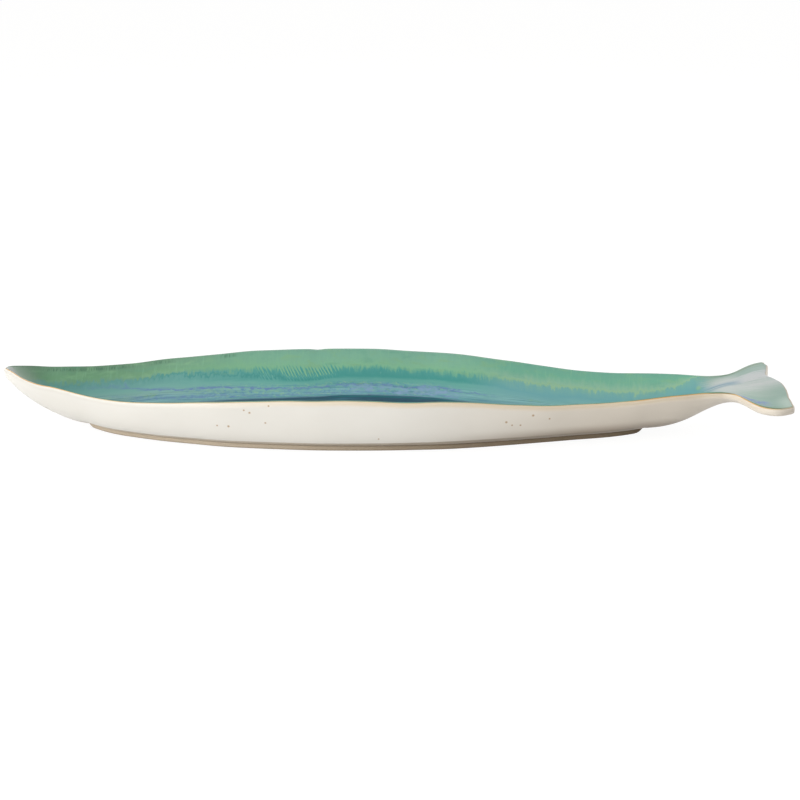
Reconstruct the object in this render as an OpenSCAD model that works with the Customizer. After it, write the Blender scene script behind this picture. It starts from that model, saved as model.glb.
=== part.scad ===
// Long stoneware platter in the shape of a fish: a shallow boat-shaped bowl with a pointed head,
// a wavy rim and a flat forked tail, standing on a low unglazed foot ring.
// X runs from the head to the tail, Y across the bowl and Z up. The foot rests on Z = 0 and the
// origin is under the middle of the whole length.

/* [Platter] */
// Whole length, from the head tip to the end of the tail
length = 500; // [450:5:560]
// Width across the rim, crest to crest, at the widest place
beam = 136; // [116:1:150]
// Height of the rim crest above the table, halfway along the bowl
rim_h = 36.7; // [32:0.1:42]
// Thickness of the stoneware
wall_t = 5; // [4:0.1:6]
// Length of the tail behind its narrow neck
tail_l = 46; // [40:1:52]
// Width across the two lobes of the tail
tail_span = 116; // [96:1:128]
// Thickness of the tail's side edges
tail_edge_t = 4.4; // [3.6:0.1:5]

/* [Rim] */
// Width of the bare toasted line along the top of the rim
crest_w = 1.2; // [0.8:0.1:2]
// How far the rounded lip stands out past the bare line
lip_out = 1.6; // [1:0.1:2]
// Height of the rounded lip
lip_h = 3.2; // [2.5:0.1:3.8]
// How far the shoulder of the lip lies below the crest
lip_shoulder = 0.9; // [0.6:0.1:1.6]

/* [Foot] */
// Height of the foot ring
foot_h = 4; // [3:0.1:5]
// Width across the outside of the foot ring at the widest place
foot_beam = 102; // [86:1:112]
// Width of the band that stands on the table
foot_band = 6; // [4.5:0.1:8]
// Length of the hull in front of the foot ring
head_overhang = 53; // [44:1:62]
// Length of the hull between the foot ring and the neck
neck_overhang = 41; // [34:1:50]
// Half width of the blunt ends of the foot ring and of the keel beyond them
keel_half = 1.6; // [1.2:0.1:2.2]

/* [Glaze] */
// Thickness of a coat of glaze
glaze_t = 0.4; // [0.3:0.05:0.6]
// Width of the dark pool on the flat floor of the bowl at the widest place
floor_w = 98; // [80:1:106]

/* [Hidden] */

// Colours of the fired clay and of the coats of glaze
clay_colour = "#b98a58";
foot_colour = "#8a7869";
outer_colour = "#f1eadb";
rim_colour = "#66b795";
wall_colour = "#3f8fa6";
pool_colour = "#1c2f57";
tail_colour = "#a9bdc4";

// Places along the length
head_x = -length / 2;
tail_x = length / 2;
neck_x = tail_x - tail_l;
foot_head_x = head_x + head_overhang;
foot_tail_x = neck_x - neck_overhang;
body_l = neck_x - head_x;
foot_l = foot_tail_x - foot_head_x;

// Crest half width along the body: share of the body's length, share of half the beam
plan_shares = [[0, 0.025], [0.011, 0.09], [0.033, 0.238], [0.055, 0.327], [0.08, 0.395],
    [0.12, 0.535], [0.165, 0.685], [0.21, 0.81], [0.25, 0.87], [0.32, 0.95], [0.4, 0.98],
    [0.46, 1], [0.54, 0.985], [0.6, 0.955], [0.67, 0.875], [0.72, 0.81], [0.76, 0.745],
    [0.8, 0.66], [0.85, 0.56], [0.9, 0.475], [0.95, 0.385], [0.98, 0.325], [1, 0.31]];
// Crest height along the body: share of the body's length, share of the rim height
crest_shares = [[0, 1.065], [0.011, 1.048], [0.033, 0.98], [0.055, 0.927], [0.08, 0.9],
    [0.12, 0.85], [0.165, 0.83], [0.21, 0.85], [0.275, 0.9], [0.36, 0.965], [0.45, 0.99],
    [0.5, 1], [0.58, 0.965], [0.63, 0.955], [0.67, 0.925], [0.72, 0.865], [0.76, 0.825],
    [0.8, 0.8], [0.85, 0.79], [0.9, 0.82], [0.95, 0.85], [1, 0.864]];
// Foot ring outline: share of the foot's length, share of half the foot's width
foot_shares = [[0, 0], [0.033, 0.23], [0.06, 0.37], [0.09, 0.475], [0.145, 0.64], [0.2, 0.76],
    [0.255, 0.87], [0.31, 0.93], [0.37, 0.975], [0.43, 1], [0.53, 0.98], [0.59, 0.94],
    [0.645, 0.89], [0.7, 0.8], [0.755, 0.685], [0.81, 0.56], [0.87, 0.42], [0.925, 0.3],
    [0.965, 0.17], [1, 0]];
// Flat floor of the bowl: share of the foot's length, share of half the floor's width
floor_shares = [[0, 0], [0.06, 0.19], [0.12, 0.37], [0.2, 0.59], [0.28, 0.76], [0.36, 0.88],
    [0.44, 0.975], [0.53, 1], [0.6, 0.94], [0.67, 0.79], [0.75, 0.63], [0.83, 0.46],
    [0.91, 0.27], [1, 0]];
// Rise of the keel at the head: share of the overhang from the tip, share of the rim height
head_keel_shares = [[0, 0.93], [0.095, 0.76], [0.19, 0.62], [0.28, 0.51], [0.47, 0.31],
    [0.66, 0.16], [0.85, 0.045], [1, 0]];
// Rise of the keel at the tail: share of the way to the tail's end, share of the full rise
tail_keel_shares = [[0, 0], [0.08, 0.03], [0.17, 0.1], [0.26, 0.22], [0.33, 0.35], [0.4, 0.5],
    [0.47, 0.64], [0.56, 0.79], [0.66, 0.91], [0.8, 0.985], [1, 1]];

// Side edges of the tail, from the neck to the lobe tips: shares of the tail's length and of
// half its span. The near lobe is the one on the -Y side.
near_lobe_shares = [[0, 0], [0.13, 0.367], [0.26, 0.436], [0.35, 0.603], [0.435, 0.776],
    [0.52, 0.907], [0.62, 0.974], [0.73, 0.995], [0.84, 0.967], [0.985, 0.885]];
far_lobe_shares = [[0, 0], [0.1, 0.38], [0.2, 0.405], [0.3, 0.46], [0.4, 0.56], [0.5, 0.69],
    [0.6, 0.815], [0.69, 0.91], [0.78, 0.975], [0.875, 1.03]];
// Back edge of the tail: share of the way from the near tip to the far tip, and how far the
// edge stands past the straight line between them as a share of the tail's length
back_edge_shares = [[0, 0], [0.1, 0.012], [0.2, 0.02], [0.32, 0.052], [0.44, 0.067],
    [0.55, 0.052], [0.63, 0], [0.7, -0.072], [0.82, -0.013], [0.95, 0.045], [1, 0]];
// How quickly the shape of the back edge fades towards the neck
back_fade = 1.5;
// Share of the tail over which its columns spread out and its edge grows to its full thickness
spread_end_share = 0.5;

// Columns of the hull on one side of the keel, as shares of the way from foot to lip
hull_column_shares = [0.22, 0.44, 0.64, 0.82, 1];
// Columns of the bowl on one side, as shares of the way from floor to crest
bowl_column_shares = [0.25, 0.5, 0.72, 0.86, 1];
// Power of the curve that both sides of the wall follow from the foot up to the rim
wall_power = 1.9;
// How far inward the bowl's rising ends lie behind the hull's, as a share of the wall
end_shift_share = 0.7;
// Most of the half width that the bare line, the lip and the floor may take near the head tip
crest_most_share = 0.5;
lip_most_share = 0.6;
floor_most_share = 0.8;
// Where the tail's glaze begins, as a share of the way from the foot ring to the neck
tail_glaze_share = 0.5;

// Rows of the mesh in each stretch of the length
head_rows = 8;
foot_rows = 32;
neck_rows = 6;
head_ease = 1.15;
lobe_rows = len(near_lobe_shares) - 1;
// Columns on one side, and the column numbers where the coats of glaze meet
side_columns = 8;
column_count = 2 * side_columns;
floor_columns = 2;
blue_columns = 5;
// Rows behind the head tip that are green right across
green_head_rows = 4;

// Value of a table of [place, value] pairs at a place, on a smooth curve through all of them
function span_of(table, place, n = 0) =
    n >= len(table) - 2 || place < table[n + 1][0] ? n : span_of(table, place, n + 1);
function rate(table, a, b) = (table[b][1] - table[a][1]) / (table[b][0] - table[a][0]);
function slope_at(table, n) =
    rate(table, max(n - 1, 0), min(n + 1, len(table) - 1));
function curve_at(table, place) =
    let (p = min(max(place, table[0][0]), table[len(table) - 1][0]),
        n = span_of(table, p),
        gap = table[n + 1][0] - table[n][0],
        s = (p - table[n][0]) / gap,
        rise = table[n + 1][1] - table[n][1],
        start = slope_at(table, n) * gap,
        end = slope_at(table, n + 1) * gap)
    table[n][1] + s * start + s * s * (3 * rise - 2 * start - end)
        + s * s * s * (start + end - 2 * rise);

// Rows: along the body each is a place X, and along the tail a place on the lobe tables
body_rows = concat([head_x, head_x + crest_w],
    [for (n = [1:head_rows]) head_x + crest_w
        + (head_overhang - crest_w) * pow(n / head_rows, head_ease)],
    [for (n = [1:foot_rows]) foot_head_x + foot_l * n / foot_rows],
    [for (n = [1:neck_rows]) foot_tail_x + neck_overhang * n / neck_rows]);
last_lobe_l = tail_l * (near_lobe_shares[lobe_rows][0] - near_lobe_shares[lobe_rows - 1][0]);
tail_rows = concat([for (n = [1:lobe_rows - 1]) n],
    [lobe_rows - crest_w / last_lobe_l, lobe_rows]);
body_count = len(body_rows);
row_count = body_count + len(tail_rows) - 1;
foot_first = 1 + head_rows;
foot_last = foot_first + foot_rows;
tail_glaze_first = foot_last + round(neck_rows * tail_glaze_share);

// Half width and height of the crest at a place along the body
function crest_half(x) = beam / 2 * curve_at(plan_shares, (x - head_x) / body_l);
function crest_z(x) = rim_h * curve_at(crest_shares, min((x - head_x) / body_l, 1));
// Half width of the foot ring's outline, which carries on as the narrow keel past both ends
function foot_half(x) = max(keel_half,
    foot_beam / 2 * curve_at(foot_shares, (x - foot_head_x) / foot_l));
// Half width of the bowl's flat floor, which carries on as a narrow valley past both ends
function floor_half(x) = max(keel_half / 2,
    floor_w / 2 * curve_at(floor_shares, (x - foot_head_x) / foot_l));

// Height of the middle of the underside
tail_rise = crest_z(neck_x) - wall_t - foot_h;
function keel_z(x) = x < foot_head_x
    ? foot_h + (rim_h - foot_h) * curve_at(head_keel_shares, (x - head_x) / head_overhang)
    : x > foot_tail_x
    ? foot_h + tail_rise * curve_at(tail_keel_shares, (x - foot_tail_x) / (tail_x - foot_tail_x))
    : foot_h;
// Height of the middle of the bowl, one wall above the underside
end_shift = wall_t * end_shift_share;
function deck_z(x) = x < 0 ? keel_z(max(x - end_shift, head_x)) + wall_t
    : keel_z(min(x + end_shift, tail_x)) + wall_t;

// Plan of a row: its edges on the near and the far side
function lobe_point(shares, side, n) =
    n == 0 ? [neck_x, side * crest_half(neck_x)]
    : [neck_x + tail_l * shares[n][0], side * tail_span / 2 * shares[n][1]];
function lobe_edge(shares, side, place) =
    let (n = min(floor(place), lobe_rows - 1),
        s = place - n)
    lobe_point(shares, side, n) * (1 - s) + lobe_point(shares, side, n + 1) * s;
function is_body(row) = row < body_count;
function near_edge(row) = is_body(row)
    ? [body_rows[row], -crest_half(body_rows[row])]
    : lobe_edge(near_lobe_shares, -1, tail_rows[row - body_count]);
function far_edge(row) = is_body(row)
    ? [body_rows[row], crest_half(body_rows[row])]
    : lobe_edge(far_lobe_shares, 1, tail_rows[row - body_count]);
// Share of the tail that lies before a row
function tail_share(row) = is_body(row) ? 0 : tail_rows[row - body_count] / lobe_rows;
function half_width(row) = norm(far_edge(row) - near_edge(row)) / 2;

// A point of the plan at a distance from the middle line of a row
function plan_point(row, across) =
    let (v = (1 + across / half_width(row)) / 2,
        share = tail_share(row),
        bulge = share == 0 ? 0
            : tail_l * curve_at(back_edge_shares, v) * pow(share, back_fade))
    near_edge(row) * (1 - v) + far_edge(row) * v + [bulge, 0];

// Both halves of a row from the list of one half that starts on the middle line
function mirrored(half) = concat(
    [for (n = [side_columns:-1:1]) [-half[n][0], half[n][1]]], half);
function eased(body, tail, share) = body * (1 - share) + tail * share;
// Columns spread evenly over the tail, where the bowl has run out
function spread_share(row) = min(1, tail_share(row) / spread_end_share);
function spread(row, list, edge) =
    let (last = side_columns - 1)
    [for (n = [0:last]) eased(list[n], edge * n / last, spread_share(row))];
function wall_z(across, inner, outer, low, high) =
    across <= inner ? low
        : low + (high - low) * pow((across - inner) / (outer - inner), wall_power);

// Underside of one row: keel, foot edge, hull, lip and shoulder, as [across, height]
function hull_half(row) =
    let (x = near_edge(row)[0],
        w = half_width(row),
        f = min(foot_half(x), w),
        lip = w + min(lip_out, w * lip_most_share),
        drop = eased(lip_h, tail_edge_t, spread_share(row)),
        z = crest_z(x),
        keel = tail_share(row) == 0 ? keel_z(x) : keel_z(neck_x + tail_l * tail_share(row)),
        body = concat([0, f / 2, f], [for (q = hull_column_shares) f + (lip - f) * q]),
        columns = spread(row, body, lip))
    concat([for (a = columns) [a, wall_z(a, f, lip, keel, z - drop)]],
        [[lip, z - lip_shoulder]]);
// Bowl side of one row: floor, wall and the two edges of the bare crest
function bowl_half(row) =
    let (x = near_edge(row)[0],
        w = half_width(row),
        inner = w - min(crest_w, w * crest_most_share),
        f = min(floor_half(x), inner * floor_most_share),
        z = crest_z(x),
        deck = min(z, tail_share(row) == 0 ? deck_z(x) : deck_z(neck_x + tail_l * tail_share(row))),
        body = concat([0, f / 2, f], [for (q = bowl_column_shares) f + (inner - f) * q]),
        columns = spread(row, body, inner))
    concat([for (a = columns) [a, wall_z(a, f, inner, deck, z)]], [[w, z]]);
function grid(halves) = [for (row = [0:row_count])
    [for (c = mirrored(halves[row])) concat(plan_point(row, c[0]), c[1])]];
hull_grid = grid([for (row = [0:row_count]) hull_half(row)]);
bowl_grid = grid([for (row = [0:row_count]) bowl_half(row)]);

// Unit direction square to a grid at one of its points, on its upper side
function upward(points, i, j) =
    let (along = points[min(i + 1, row_count)][j] - points[max(i - 1, 0)][j],
        across = points[i][min(j + 1, column_count)] - points[i][max(j - 1, 0)],
        n = cross(along, across))
    n / norm(n);
function lifted(points, by) = [for (i = [0:row_count]) [for (j = [0:column_count])
    points[i][j] + by * upward(points, i, j)]];

// Solid between two grids, over the cells of the mask only
module between(low, high, mask) {
    wide = column_count + 1;
    count = (row_count + 1) * wide;
    function at(i, j) = i * wide + j;
    function in_mask(i, j) = i >= 0 && j >= 0 && i < row_count && j < column_count && mask[i][j];
    function side(a, b) = [[a, b, b + count], [a, b + count, a + count]];
    cells = [for (i = [0:row_count - 1]) for (j = [0:column_count - 1]) if (mask[i][j]) [i, j]];
    faces = [for (c = cells)
        let (i = c[0],
            j = c[1],
            a = at(i, j),
            b = at(i + 1, j),
            d = at(i + 1, j + 1),
            e = at(i, j + 1))
        each concat([[a, b, d], [a, d, e], [count + a, count + d, count + b],
                [count + a, count + e, count + d]],
            in_mask(i - 1, j) ? [] : side(a, e),
            in_mask(i + 1, j) ? [] : side(d, b),
            in_mask(i, j - 1) ? [] : side(b, a),
            in_mask(i, j + 1) ? [] : side(e, d))];
    polyhedron(points = concat([for (row = low) each row], [for (row = high) each row]),
        faces = faces);
}

// Which part of the platter a cell belongs to
function from_middle(j) = j < side_columns ? side_columns - 1 - j : j - side_columns;
function is_inside(i, j) = i > 0 && i < row_count - 1 && j > 0 && j < column_count - 1;
function is_over_foot(i) = i >= foot_first && i < foot_last;
function is_pool(i, j) = is_over_foot(i) && from_middle(j) < floor_columns;
function is_tail(i) = i >= tail_glaze_first;
function is_green(i, j) = is_inside(i, j) && !is_tail(i)
    && (from_middle(j) >= blue_columns || i < green_head_rows);
function is_blue(i, j) = is_inside(i, j) && !is_tail(i) && !is_pool(i, j) && !is_green(i, j);

// The fired stoneware body, bare only along its crest
module clay_body() {
    mask = [for (i = [0:row_count - 1]) [for (j = [0:column_count - 1]) true]];
    color(clay_colour) between(hull_grid, bowl_grid, mask);
}

// A coat of glaze on the bowl side, over the cells of its mask
module bowl_coat(mask) {
    between(bowl_grid, lifted(bowl_grid, glaze_t), mask);
}

// Outline of the foot ring, drawn in by an inset on both long sides
function foot_outline(inset) =
    let (rows = [for (i = [foot_first:foot_last]) if (foot_half(body_rows[i]) > inset + keel_half
            || inset == 0) body_rows[i]])
    concat([for (x = rows) [x, inset - foot_half(x)]],
        [for (n = [len(rows) - 1:-1:0]) [rows[n], foot_half(rows[n]) - inset]]);

// The unglazed ring that stands on the table
module foot_ring() {
    color(foot_colour)
        linear_extrude(foot_h)
            difference() {
                polygon(foot_outline(0));
                polygon(foot_outline(foot_band));
            }
}

// White glaze over the outside of the hull, from the lip down to the foot ring
module outer_glaze() {
    mask = [for (i = [0:row_count - 1]) [for (j = [0:column_count - 1]) !is_pool(i, j)]];
    color(outer_colour) between(lifted(hull_grid, -glaze_t), hull_grid, mask);
}

// White glaze on the underside, inside the foot ring
module base_glaze() {
    color(outer_colour)
        translate([0, 0, foot_h - glaze_t])
            linear_extrude(glaze_t)
                polygon(foot_outline(foot_band));
}

// Sea-green glaze of the upper wall
module rim_glaze() {
    mask = [for (i = [0:row_count - 1]) [for (j = [0:column_count - 1]) is_green(i, j)]];
    color(rim_colour) bowl_coat(mask);
}

// Teal and blue glaze that ran down the lower wall
module wall_glaze() {
    mask = [for (i = [0:row_count - 1]) [for (j = [0:column_count - 1]) is_blue(i, j)]];
    color(wall_colour) bowl_coat(mask);
}

// Dark glaze that pooled on the floor
module pool_glaze() {
    mask = [for (i = [0:row_count - 1]) [for (j = [0:column_count - 1]) is_pool(i, j)]];
    color(pool_colour) bowl_coat(mask);
}

// Pale grey-blue glaze of the tail
module tail_glaze() {
    mask = [for (i = [0:row_count - 1]) [for (j = [0:column_count - 1])
        is_inside(i, j) && is_tail(i)]];
    color(tail_colour) bowl_coat(mask);
}

clay_body();
foot_ring();
outer_glaze();
base_glaze();
rim_glaze();
wall_glaze();
pool_glaze();
tail_glaze();
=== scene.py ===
# Looks of a long stoneware platter in the shape of a fish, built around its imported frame.
# Lengths are in metres. X runs from the head to the tail, Y across the bowl and Z up.
import math

import bpy
import numpy as np
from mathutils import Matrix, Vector


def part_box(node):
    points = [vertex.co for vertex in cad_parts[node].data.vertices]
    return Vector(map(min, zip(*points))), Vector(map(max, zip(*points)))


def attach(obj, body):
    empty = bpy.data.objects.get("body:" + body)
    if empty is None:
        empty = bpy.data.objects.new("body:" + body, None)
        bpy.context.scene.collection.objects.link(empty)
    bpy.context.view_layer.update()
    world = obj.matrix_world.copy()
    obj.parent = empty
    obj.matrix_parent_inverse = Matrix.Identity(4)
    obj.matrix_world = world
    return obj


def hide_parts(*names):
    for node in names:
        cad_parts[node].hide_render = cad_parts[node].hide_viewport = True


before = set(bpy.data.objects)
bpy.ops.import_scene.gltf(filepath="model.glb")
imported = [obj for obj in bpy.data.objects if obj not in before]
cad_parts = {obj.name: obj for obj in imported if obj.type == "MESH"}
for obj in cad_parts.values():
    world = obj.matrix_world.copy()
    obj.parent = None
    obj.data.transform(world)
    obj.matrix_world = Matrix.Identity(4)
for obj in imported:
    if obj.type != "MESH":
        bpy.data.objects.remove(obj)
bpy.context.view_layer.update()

MM = 0.001


def mm(*sizes):
    """Sizes in metres, from millimetres."""
    return [size * MM for size in sizes]


# Sizes of the rim, foot, glaze and tail, as the solids have them
lip_out = 1.6 * MM
lip_h = 3.2 * MM
wall_t = 5 * MM
band_w = 6 * MM
keel_half = 1.6 * MM
glaze_t = 0.4 * MM
floor_w = 98 * MM
neck_overhang = 41 * MM
tail_l = 46 * MM
tail_span = 116 * MM
tail_edge_t = 4.4 * MM

# Places and sizes that the frame gives
clay_low, clay_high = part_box("clay_body")
foot_low, foot_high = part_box("foot_ring")
head_x = clay_low.x
foot_head_x = foot_low.x
foot_tail_x = foot_high.x
foot_h = foot_high.z
foot_half_w = foot_high.y
neck_x = foot_tail_x + neck_overhang
tail_x = neck_x + tail_l
tail_row_l = tail_l - glaze_t
half_beam = clay_high.y - lip_out
head_overhang = foot_head_x - head_x
foot_l = foot_tail_x - foot_head_x
body_l = neck_x - head_x

# Tables of shares, as those of the solids, apart from the far corner of the back edge
plan_shares = [[0, 0.025], [0.011, 0.09], [0.033, 0.238], [0.055, 0.327], [0.08, 0.395],
    [0.12, 0.535], [0.165, 0.685], [0.21, 0.81], [0.25, 0.87], [0.32, 0.95], [0.4, 0.98],
    [0.46, 1], [0.54, 0.985], [0.6, 0.955], [0.67, 0.875], [0.72, 0.81], [0.76, 0.745],
    [0.8, 0.66], [0.85, 0.56], [0.9, 0.475], [0.95, 0.385], [0.98, 0.325], [1, 0.31]]
crest_shares = [[0, 1.065], [0.011, 1.048], [0.033, 0.98], [0.055, 0.927], [0.08, 0.9],
    [0.12, 0.85], [0.165, 0.83], [0.21, 0.85], [0.275, 0.9], [0.36, 0.965], [0.45, 0.99],
    [0.5, 1], [0.58, 0.965], [0.63, 0.955], [0.67, 0.925], [0.72, 0.865], [0.76, 0.825],
    [0.8, 0.8], [0.85, 0.79], [0.9, 0.82], [0.95, 0.85], [1, 0.864]]
foot_shares = [[0, 0], [0.033, 0.23], [0.06, 0.37], [0.09, 0.475], [0.145, 0.64], [0.2, 0.76],
    [0.255, 0.87], [0.31, 0.93], [0.37, 0.975], [0.43, 1], [0.53, 0.98], [0.59, 0.94],
    [0.645, 0.89], [0.7, 0.8], [0.755, 0.685], [0.81, 0.56], [0.87, 0.42], [0.925, 0.3],
    [0.965, 0.17], [1, 0]]
floor_shares = [[0, 0], [0.06, 0.19], [0.12, 0.37], [0.2, 0.59], [0.28, 0.76], [0.36, 0.88],
    [0.44, 0.975], [0.53, 1], [0.6, 0.94], [0.67, 0.79], [0.75, 0.63], [0.83, 0.46],
    [0.91, 0.27], [1, 0]]
head_keel_shares = [[0, 0.93], [0.095, 0.76], [0.19, 0.62], [0.28, 0.51], [0.47, 0.31],
    [0.66, 0.16], [0.85, 0.045], [1, 0]]
tail_keel_shares = [[0, 0], [0.08, 0.03], [0.17, 0.1], [0.26, 0.22], [0.33, 0.35], [0.4, 0.5],
    [0.47, 0.64], [0.56, 0.79], [0.66, 0.91], [0.8, 0.985], [1, 1]]
near_lobe_shares = [[0, 0], [0.13, 0.367], [0.26, 0.436], [0.35, 0.603], [0.435, 0.776],
    [0.52, 0.907], [0.62, 0.974], [0.73, 0.995], [0.84, 0.967], [0.985, 0.885]]
far_lobe_shares = [[0, 0], [0.1, 0.38], [0.2, 0.405], [0.3, 0.46], [0.4, 0.56], [0.5, 0.69],
    [0.6, 0.815], [0.69, 0.91], [0.78, 0.975], [0.875, 1.03]]
back_edge_shares = [[0, 0], [0.1, 0.012], [0.2, 0.02], [0.32, 0.052], [0.44, 0.067],
    [0.55, 0.052], [0.63, 0], [0.7, -0.072], [0.82, -0.025], [0.92, 0.018], [0.97, 0.032], [1, 0]]
back_fade = 1.5
spread_end_share = 0.5
wall_power = 1.9
end_shift_share = 0.7
lip_most_share = 0.6
floor_most_share = 0.8
rim_h = clay_high.z / crest_shares[0][1]

# Profile of the rim from the hull round the lip to the bowl: share of the lip's overhang past the
# crest line, and depth below the crest as a share of the lip's height
body_rim_shares = [[0.9, 1], [0.95, 0.84], [0.985, 0.66], [1, 0.44], [0.93, 0.24], [0.62, 0.08],
    [0.15, 0.005], [-0.3, 0], [-0.62, 0.06], [-0.8, 0.2]]
tail_rim_shares = [[-0.2, 1], [0.35, 0.93], [0.8, 0.76], [1, 0.5], [0.9, 0.24], [0.55, 0.07],
    [0.1, 0.01], [-0.35, 0], [-0.7, 0], [-1.1, 0]]

# Rounding of the head tip, of the back edge and of the tips of the lobes
tip_start = 0.05 * MM
tip_round = 2.5 * MM
back_round = 2.3 * MM
corner_round = 3 * MM
least_cap_share = 0.06

# Least sizes to divide by, and a distance past every rounded edge
least_gap = 1e-9
least_area = 1e-12
far_off = 1.0

# Counts along half a section, from the keel round the lip to the middle of the bowl
base_steps = 6
hull_steps = 31
rim_steps = 3
wall_steps = 22
floor_steps = 6
green_steps = 6
rim_first = base_steps + hull_steps
lip_edge = rim_first + 3 * rim_steps
wall_first = rim_first + 9 * rim_steps
floor_first = wall_first + wall_steps
half_count = floor_first + floor_steps
loop_count = 2 * half_count
summit = rim_first + 6 * rim_steps
green_last = wall_first + green_steps

# Counts of rows along the length
tip_rows = 8
head_rows = 32
foot_rows = 140
neck_rows = 28
tail_rows = 50
back_rows = 8
back_place = 0.5


def blend(start, rise, first, last, share):
    """Point at a share of a smooth curve, from its rise and its slopes at both ends."""
    bend = 3 * rise - 2 * first - last
    twist = first + last - 2 * rise
    return start + share * first + share**2 * bend + share**3 * twist


def curve_at(table, place):
    """Value of a table of places and values, on a smooth curve through its points."""
    places, values = np.array(table, float).T
    p = np.clip(place, places[0], places[-1])
    n = np.clip(np.searchsorted(places, p, side="right") - 1, 0, len(places) - 2)
    last = len(places) - 1
    before = np.maximum(np.arange(last + 1) - 1, 0)
    after = np.minimum(np.arange(last + 1) + 1, last)
    slope = (values[after] - values[before]) / (places[after] - places[before])
    gap = places[n + 1] - places[n]
    rise = values[n + 1] - values[n]
    return blend(values[n], rise, slope[n] * gap, slope[n + 1] * gap, (p - places[n]) / gap)


def crest_half(x):
    return half_beam * curve_at(plan_shares, (x - head_x) / body_l)


def crest_z(x):
    return rim_h * curve_at(crest_shares, (x - head_x) / body_l)


def foot_half(x):
    return np.maximum(keel_half, foot_half_w * curve_at(foot_shares, (x - foot_head_x) / foot_l))


def floor_half(x):
    share = curve_at(floor_shares, (x - foot_head_x) / foot_l)
    return np.maximum(keel_half / 2, floor_w / 2 * share)


def keel_z(x):
    """Height of the middle of the underside."""
    x = np.clip(x, head_x, tail_x)
    head = curve_at(head_keel_shares, (x - head_x) / head_overhang)
    tail = curve_at(tail_keel_shares, (x - foot_tail_x) / (tail_x - foot_tail_x))
    tail_rise = crest_z(neck_x) - wall_t - foot_h
    rise = np.where(x > foot_tail_x, tail_rise * tail, 0)
    return foot_h + np.where(x < foot_head_x, (rim_h - foot_h) * head, rise)


def deck_z(x):
    """Height of the middle of the bowl, one wall above the underside."""
    shift = wall_t * end_shift_share
    return keel_z(np.where(x < 0, x - shift, x + shift)) + wall_t


def cap(distance, radius):
    """Share of the full thickness that a round edge has at a distance from it."""
    q = np.clip(distance / radius, 0, 1)
    return np.maximum(np.sqrt(1 - (1 - q) ** 2), least_cap_share)


def corner_inset(edge):
    """How far the rounded corner at the end of an edge lies inside the square one."""
    q = np.clip(np.linalg.norm(edge - edge[-1], axis=1) / corner_round, 0, 1)
    return corner_round * (1 - np.sqrt(1 - (1 - q) ** 2))[:, None]


def row_places():
    """X of each row of the body, and the place on the lobe tables of each row of the tail."""
    turn = np.linspace(0, math.pi / 2, tip_rows + 1)
    tip = head_x + tip_start + (tip_round - tip_start) * (1 - np.cos(turn))
    head = np.linspace(tip[-1], foot_head_x, head_rows + 1)[1:]
    foot = np.linspace(foot_head_x, foot_tail_x, foot_rows + 1)[1:]
    neck = np.linspace(foot_tail_x, neck_x, neck_rows + 1)[1:]
    last = len(near_lobe_shares) - 1
    tail = np.linspace(0, last - back_place, tail_rows + 1)[1:]
    back_turn = np.linspace(0, math.pi / 2, back_rows + 1)[1:]
    back = last - back_place * (1 - np.sin(back_turn))
    return np.hstack([tip, head, foot, neck]), np.hstack([tail, back])


body_x, lobe_places = row_places()
body_count = len(body_x)
row_count = body_count + len(lobe_places)
foot_row = tip_rows + head_rows
foot_end_row = foot_row + foot_rows
tail_glaze_row = foot_end_row + neck_rows // 2
tail_share = np.hstack([np.zeros(body_count), lobe_places / (len(near_lobe_shares) - 1)])
spread = np.minimum(1, tail_share / spread_end_share)
row_x = np.hstack([body_x, neck_x + tail_row_l * tail_share[body_count:]])


def lobe_curve(shares, side):
    """Edge of one lobe of the tail at every row of the tail."""
    numbers = range(len(shares))
    x = [[n, neck_x + tail_row_l * shares[n][0]] for n in numbers]
    y = [[n, side * tail_span / 2 * shares[n][1]] for n in numbers]
    y[0][1] = side * crest_half(neck_x)
    return np.stack([curve_at(x, lobe_places), curve_at(y, lobe_places)], -1)


def row_edges():
    """Near and far end of the crest line of every row, with rounded tips."""
    width = crest_half(body_x) * cap(body_x - head_x, 2 * tip_round)
    near = np.vstack([np.stack([body_x, -width], -1), lobe_curve(near_lobe_shares, -1)])
    far = np.vstack([np.stack([body_x, width], -1), lobe_curve(far_lobe_shares, 1)])
    unit = (far - near) / np.linalg.norm(far - near, axis=1)[:, None]
    return near + unit * corner_inset(near), far - unit * corner_inset(far)


near_edge, far_edge = row_edges()
half_w = np.linalg.norm(far_edge - near_edge, axis=1) / 2


def plan_points(side, across):
    """Plan of the nodes of one side, from their distances to the middle line."""
    v = (1 + side * across / half_w[:, None]) / 2
    fade = (tail_l * tail_share**back_fade)[:, None]
    bulge = curve_at(back_edge_shares, v) * fade
    points = near_edge[:, None] * (1 - v[..., None]) + far_edge[:, None] * v[..., None]
    points[..., 0] += bulge
    return points


def wall_z(across, inner, outer, low, high):
    q = np.clip((across - inner) / (outer - inner), 0, None)
    return low + (high - low) * q**wall_power


def smooth_through(points, steps):
    """Points on a smooth curve through all but the first and the last of each row's points."""
    step = points[:, 1:] - points[:, :-1]
    gap = np.maximum(np.linalg.norm(step, axis=2, keepdims=True), least_gap)
    rate = step / gap
    slope = (rate[:, :-1] * gap[:, 1:] + rate[:, 1:] * gap[:, :-1]) / (gap[:, 1:] + gap[:, :-1])
    out = []
    for n in range(slope.shape[1] - 1):
        start = points[:, n + 1]
        rise = points[:, n + 2] - start
        first = slope[:, n] * gap[:, n + 1]
        last = slope[:, n + 1] * gap[:, n + 1]
        out += [blend(start, rise, first, last, share) for share in np.arange(steps) / steps]
    out.append(points[:, -2])
    return np.stack(out, 1)


# At the head the lip runs smoothly into the hull: share of its overhang, how far its lower edge
# leans in, and the stretch over which it grows to the whole lip
soft_lip_share = 0.35
soft_lip_lean = 1.6 * MM
soft_lip_x = -205 * MM
soft_lip_l = 95 * MM

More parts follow.
